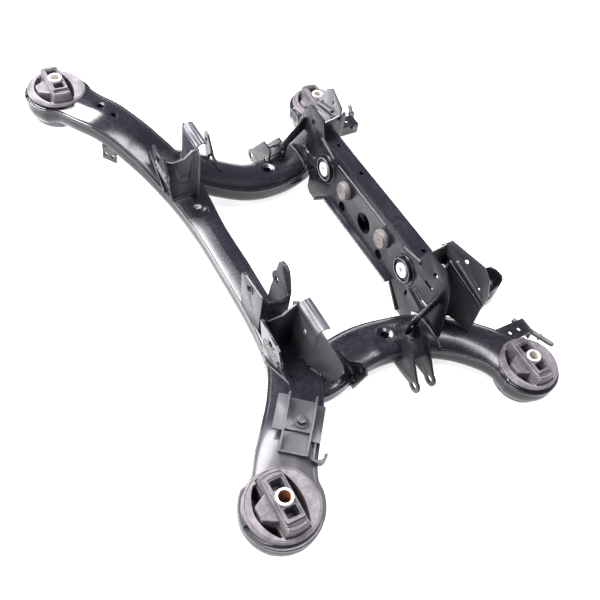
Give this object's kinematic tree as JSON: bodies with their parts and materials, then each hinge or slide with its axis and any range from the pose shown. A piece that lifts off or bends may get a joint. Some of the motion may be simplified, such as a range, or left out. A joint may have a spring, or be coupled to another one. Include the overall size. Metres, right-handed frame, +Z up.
{
  "type": "rear subframe",
  "caption": "Welded rear subframe of bowed pressed rails and crossmembers with round rubber body bushings, a pressed rear plate, towers and suspension link brackets.",
  "frame": {"origin": "middle of the part on the floor", "axes": "+X to the right side, +Y to the rear, +Z up"},
  "size_m": [1.08, 0.7273, 0.2202],
  "materials": {
    "coated_steel": "semi-gloss black dip coat",
    "can_steel": "dusty grey coat",
    "core_metal": "dull cast",
    "bushing_rubber": "matte",
    "sleeve_metal": "bright turned",
    "plug_grey": "dull grey",
    "plated_steel": "plated",
    "rod_steel": "satin"
  },
  "bodies": {
    "root": {"front_crossmember_upper": "coated_steel", "front_crossmember_lower": "coated_steel", "left_rail_upper": "coated_steel", "left_rail_lower": "coated_steel", "right_rail_upper": "coated_steel", "right_rail_lower": "coated_steel", "front_left_eye": "coated_steel", "front_right_eye": "coated_steel", "rear_left_eye": "coated_steel", "rear_right_eye": "coated_steel", "rear_plate": "coated_steel", "rear_channel": "coated_steel", "front_left_can": "can_steel", "front_right_can": "can_steel", "rear_left_can": "can_steel", "rear_right_can": "can_steel", "front_left_rubber": "bushing_rubber", "front_right_rubber": "bushing_rubber", "rear_left_rubber": "bushing_rubber", "rear_right_rubber": "bushing_rubber", "front_left_core": "core_metal", "front_right_core": "core_metal", "rear_left_core": "core_metal", "rear_right_core": "core_metal", "front_left_sleeve": "sleeve_metal", "front_right_sleeve": "sleeve_metal", "rear_left_sleeve": "sleeve_metal", "rear_right_sleeve": "sleeve_metal", "left_drive_shell": "can_steel", "right_drive_shell": "can_steel", "left_drive_rubber": "bushing_rubber", "right_drive_rubber": "bushing_rubber", "left_drive_sleeve": "sleeve_metal", "right_drive_sleeve": "sleeve_metal", "left_plug": "plug_grey", "right_plug": "plug_grey", "left_link_bracket": "coated_steel", "right_link_bracket": "coated_steel", "drive_mount": "coated_steel", "left_tower_cap": "coated_steel", "right_tower_cap": "coated_steel", "left_tower_wall": "coated_steel", "right_tower_wall": "coated_steel", "stay": "coated_steel", "stay_bolt": "plated_steel", "left_strap": "coated_steel", "right_strap": "coated_steel", "left_lower_bracket": "coated_steel", "right_lower_bracket": "coated_steel", "left_shoulder_ear": "coated_steel", "right_shoulder_ear": "coated_steel", "left_hanger": "coated_steel", "right_hanger": "coated_steel", "left_rod": "rod_steel", "right_rod": "rod_steel", "saddle": "coated_steel", "saddle_washer": "plated_steel", "saddle_bolt": "plated_steel", "hook": "rod_steel", "hose_bracket": "coated_steel"}
  },
  "joints": []
}
